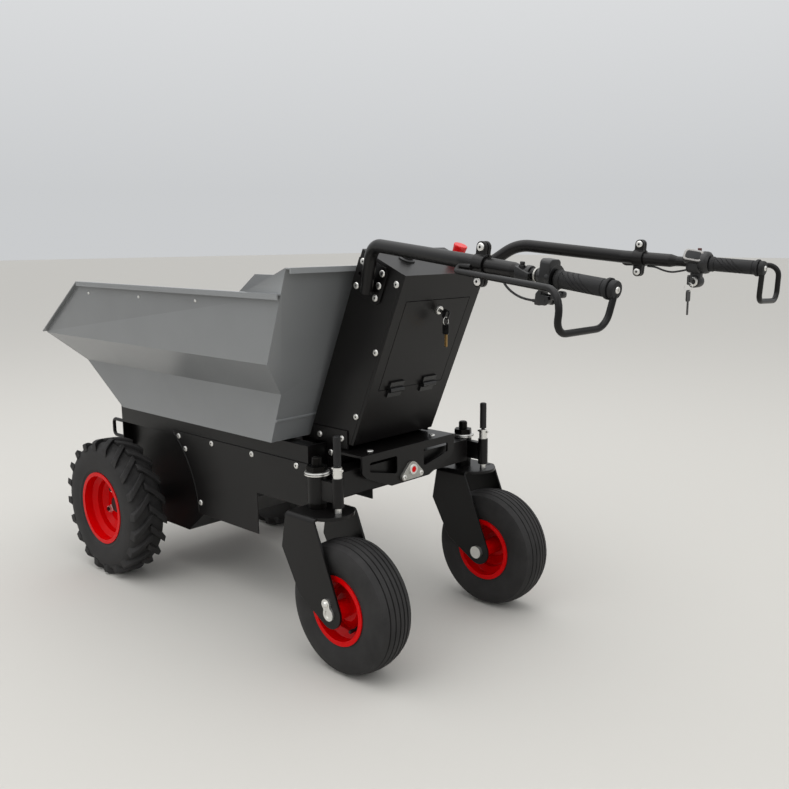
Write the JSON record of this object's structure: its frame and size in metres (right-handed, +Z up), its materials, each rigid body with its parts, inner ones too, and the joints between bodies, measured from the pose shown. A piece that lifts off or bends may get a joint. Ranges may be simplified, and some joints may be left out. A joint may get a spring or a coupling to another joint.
{
  "type": "electric mini dumper",
  "caption": "Walk-behind electric mini dumper: tipping sheet hopper, driven lugged front wheels, rocking rear axle with swivel casters, leaning cabinet and long handlebars with hand guards.",
  "frame": {"origin": "on the ground, at the middle of the bounding box", "axes": "+X towards the dump end, +Y to the operator's left, +Z up"},
  "size_m": [2.0517, 0.916, 1.0081],
  "materials": {
    "hopper_paint": "satin grey paint",
    "black_paint": "semi-gloss black paint",
    "red_paint": "gloss red paint",
    "tyre_rubber": "black tyre rubber",
    "plated_steel": "zinc-plated steel",
    "cast_housing": "cast housing",
    "black_plastic": "moulded plastic",
    "grip_rubber": "soft rubber",
    "red_plastic": "gloss red plastic",
    "key_plastic": "key head plastic"
  },
  "bodies": {
    "chassis": {"chassis_frame": "black_paint", "rest_pads": "grip_rubber", "side_covers": "black_paint", "axle_guard": "black_paint", "tie_down_hooks": "black_paint", "drive_unit": "cast_housing", "body_bolts": "plated_steel", "cabinet_gussets": "black_paint", "hopper_pivot_pins": "plated_steel", "rear_bracket": "black_paint", "rock_bearings": "plated_steel", "cabinet_shell": "black_paint", "door_hinges": "black_plastic", "battery_pack": "black_plastic", "motor_controller": "black_plastic", "top_fittings": "black_plastic", "left_handle": "black_paint", "right_handle": "black_paint", "handlebars": "black_paint", "handle_clamps": "black_paint", "handle_bolts": "plated_steel", "guard_rods": "black_paint", "left_grip": "grip_rubber", "left_controls": "black_plastic", "throttle_housing": "black_plastic", "handle_cables": "black_plastic"},
    "hopper": {"hopper_shell": "hopper_paint", "hopper_brackets": "black_paint"},
    "tipping_cylinder": {"actuator_body": "cast_housing"},
    "tipping_rod": {"actuator_rod": "plated_steel"},
    "drive_wheel_left": {"drive_tyre_left": "tyre_rubber", "drive_rim_left": "red_paint", "drive_hub_left": "plated_steel"},
    "drive_wheel_right": {"drive_tyre_right": "tyre_rubber", "drive_rim_right": "red_paint", "drive_hub_right": "plated_steel"},
    "rear_axle": {"axle_beam": "black_paint", "rock_pin": "red_paint"},
    "caster_left": {"caster_fork_left": "black_paint", "caster_pins_left": "plated_steel"},
    "caster_right": {"caster_fork_right": "black_paint", "caster_pins_right": "plated_steel"},
    "caster_wheel_left": {"caster_tyre_left": "tyre_rubber", "caster_rim_left": "red_paint"},
    "caster_wheel_right": {"caster_tyre_right": "tyre_rubber", "caster_rim_right": "red_paint"},
    "swivel_lock_left": {"lock_pin_left": "plated_steel"},
    "swivel_lock_right": {"lock_pin_right": "plated_steel"},
    "door": {"cabinet_door": "black_paint", "door_lock": "plated_steel"},
    "key": {"door_key": "key_plastic"},
    "key_spare": {"door_spare_key": "key_plastic"},
    "switch_key": {"ignition_key": "key_plastic"},
    "switch_key_spare": {"ignition_spare_key": "key_plastic"},
    "throttle": {"throttle_grip": "grip_rubber"},
    "lever": {"thumb_lever": "black_plastic"},
    "knob_left": {"left_button": "black_plastic"},
    "knob_red": {"red_button": "red_plastic"},
    "emergency_stop": {"estop_head": "red_plastic"}
  },
  "joints": [
    {"name": "hopper_tip", "type": "hinge", "parent": "chassis", "child": "hopper", "pos_m": [0.76385, 0, 0.518], "axis": [0, 1, 0], "range_deg": [0, 65]},
    {"name": "actuator_swing", "type": "hinge", "parent": "chassis", "child": "tipping_cylinder", "pos_m": [0.70185, 0, 0.362], "axis": [0, 1, 0], "range_deg": [0, 53.91]},
    {"name": "actuator_extend", "type": "slide", "parent": "tipping_cylinder", "child": "tipping_rod", "axis": [-0.9476, 0, 0.3193], "range_m": [0, 0.1663]},
    {"name": "drive_wheel_left_spin", "type": "hinge", "parent": "chassis", "child": "drive_wheel_left", "pos_m": [0.68785, 0.308, 0.207], "axis": [0, 1, 0], "continuous": true},
    {"name": "drive_wheel_right_spin", "type": "hinge", "parent": "chassis", "child": "drive_wheel_right", "pos_m": [0.68785, -0.308, 0.207], "axis": [0, 1, 0], "continuous": true},
    {"name": "rear_axle_rock", "type": "hinge", "parent": "chassis", "child": "rear_axle", "pos_m": [-0.21215, 0, 0.427], "axis": [1, 0, 0], "range_deg": [-5, 5]},
    {"name": "caster_left_swivel", "type": "hinge", "parent": "rear_axle", "child": "caster_left", "pos_m": [-0.21215, 0.272, 0.377], "axis": [0, 0, 1], "continuous": true},
    {"name": "caster_left_wheel_spin", "type": "hinge", "parent": "caster_left", "child": "caster_wheel_left", "pos_m": [-0.32215, 0.272, 0.161], "axis": [0, 1, 0], "continuous": true},
    {"name": "lock_pin_left_lift", "type": "slide", "parent": "rear_axle", "child": "swivel_lock_left", "axis": [0, 0, 1], "range_m": [0, 0.012]},
    {"name": "caster_right_swivel", "type": "hinge", "parent": "rear_axle", "child": "caster_right", "pos_m": [-0.21215, -0.272, 0.377], "axis": [0, 0, 1], "continuous": true},
    {"name": "caster_right_wheel_spin", "type": "hinge", "parent": "caster_right", "child": "caster_wheel_right", "pos_m": [-0.32215, -0.272, 0.161], "axis": [0, 1, 0], "continuous": true},
    {"name": "lock_pin_right_lift", "type": "slide", "parent": "rear_axle", "child": "swivel_lock_right", "axis": [0, 0, 1], "range_m": [0, 0.012]},
    {"name": "door_swing", "type": "hinge", "parent": "chassis", "child": "door", "pos_m": [-0.27129, 0, 0.6419], "axis": [0, -1, 0], "range_deg": [0, 95]},
    {"name": "door_key_turn", "type": "hinge", "parent": "door", "child": "key", "pos_m": [-0.34942, -0.01, 0.83881], "axis": [-0.9178, 0, -0.3971], "range_deg": [0, 90]},
    {"name": "door_spare_hang", "type": "hinge", "parent": "key", "child": "key_spare", "pos_m": [-0.37274, -0.01, 0.81837], "axis": [-0.9178, 0, -0.3971], "range_deg": [-90, 0]},
    {"name": "ignition_key_turn", "type": "hinge", "parent": "chassis", "child": "switch_key", "pos_m": [-0.86813, -0.2895, 0.91594], "axis": [-0.0462, 0.9989, 0], "range_deg": [0, 90]},
    {"name": "ignition_spare_hang", "type": "hinge", "parent": "switch_key", "child": "switch_key_spare", "pos_m": [-0.86922, -0.26601, 0.90644], "axis": [-0.0462, 0.9989, 0], "range_deg": [-90, 0]},
    {"name": "throttle_twist", "type": "hinge", "parent": "chassis", "child": "throttle", "pos_m": [-0.72715, -0.3, 0.962], "axis": [-0.9969, -0.0461, -0.0639], "range_deg": [0, 60], "stiffness_Nm_per_rad": 0.3},
    {"name": "thumb_lever_push", "type": "hinge", "parent": "chassis", "child": "lever", "pos_m": [-0.87983, 0.30706, 0.90267], "axis": [-0.0462, -0.9989, 0], "range_deg": [0, 20], "stiffness_Nm_per_rad": 0.3},
    {"name": "left_button_press", "type": "slide", "parent": "chassis", "child": "knob_left", "axis": [0.1233, -0.0057, -0.9923], "range_m": [0, 0.003], "stiffness_N_per_m": 300},
    {"name": "red_button_press", "type": "slide", "parent": "chassis", "child": "knob_red", "axis": [0.0638, 0.003, -0.998], "range_m": [0, 0.003], "stiffness_N_per_m": 300},
    {"name": "estop_press", "type": "slide", "parent": "chassis", "child": "emergency_stop", "axis": [0.3971, 0, -0.9178], "range_m": [0, 0.006], "stiffness_N_per_m": 600}
  ],
  "couplings": [
    {"joint": "actuator_swing", "follows": "hopper_tip", "ratio": 0.82786},
    {"joint": "actuator_extend", "follows": "hopper_tip", "m_per_rad": 0.14613},
    {"joint": "door_spare_hang", "follows": "door_key_turn", "ratio": -1},
    {"joint": "ignition_spare_hang", "follows": "ignition_key_turn", "ratio": -1}
  ]
}
